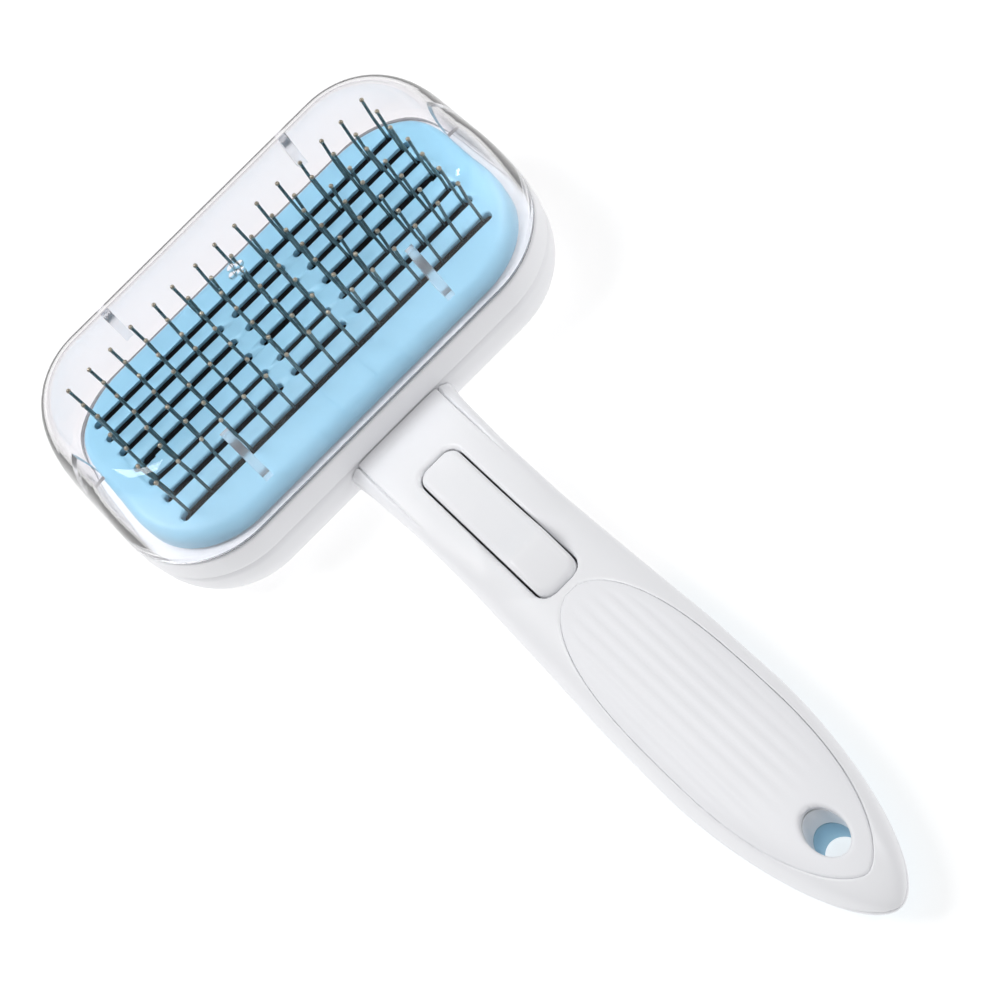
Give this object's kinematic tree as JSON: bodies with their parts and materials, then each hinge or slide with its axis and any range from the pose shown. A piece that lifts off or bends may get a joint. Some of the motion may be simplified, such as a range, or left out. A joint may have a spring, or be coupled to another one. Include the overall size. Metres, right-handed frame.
{
  "type": "self-cleaning slicker brush",
  "caption": "Pet grooming slicker brush with a lever-lifted face plate, bent steel pins, a clear clip-over cover and a thumb button in the handle.",
  "frame": {"origin": "centre of the bounding box at its lowest level, where the brush lies on its back", "axes": "+Y along the handle towards the head, +X across the head, +Z the way the pins point"},
  "size_m": [0.1, 0.1844, 0.045],
  "materials": {
    "white_shell": "satin moulded white",
    "white_grip": "soft white, fine ridges",
    "blue_plate": "satin light blue",
    "blue_grip": "soft light blue",
    "clear_cover": "polished clear",
    "black_plastic": "moulded black",
    "grey_plastic": "moulded grey",
    "steel": "drawn wire"
  },
  "bodies": {
    "handle": {"back_shell": "white_shell", "head_frame": "white_shell", "handle_front": "white_shell", "front_grip": "white_grip", "rear_grip": "blue_grip", "pin_carrier": "black_plastic", "pin_row_1": "steel", "pin_row_2": "steel", "pin_row_3": "steel", "pin_row_4": "steel", "pin_row_5": "steel", "pin_row_6": "steel", "pin_row_7": "steel", "carrier_screw_1": "steel", "carrier_screw_2": "steel", "carrier_screw_3": "steel", "carrier_screw_4": "steel", "handle_screw_1": "steel", "handle_screw_2": "steel", "pivot_pin": "steel", "button_spring": "steel", "return_spring_1": "steel", "return_spring_2": "steel", "return_spring_3": "steel", "return_spring_4": "steel"},
    "button": {"thumb_button": "white_shell", "lever_arm": "grey_plastic"},
    "plate": {"face_plate": "blue_plate", "lift_frame": "grey_plastic", "lift_screw_1": "steel", "lift_screw_2": "steel", "lift_screw_3": "steel", "lift_screw_4": "steel"},
    "cover": {"clear_cover": "clear_cover"}
  },
  "joints": [
    {"name": "button_press", "type": "hinge", "parent": "handle", "child": "button", "pos_m": [0, 0.03375, 0.0078], "axis": [1, 0, 0], "range_deg": [0, 7.85], "stiffness_Nm_per_rad": 0.8, "springref_deg": -3.44, "deforming": ["button_spring"]},
    {"name": "plate_lift", "type": "slide", "parent": "handle", "child": "plate", "axis": [0, 0, 1], "range_m": [0, 0.0045], "deforming": ["return_spring_1", "return_spring_2", "return_spring_3", "return_spring_4"]},
    {"name": "cover_lift", "type": "slide", "parent": "handle", "child": "cover", "axis": [0, 0, 1], "range_m": [0, 0.06]}
  ],
  "couplings": [
    {"joint": "plate_lift", "follows": "button_press", "m_per_rad": 0.0328}
  ]
}
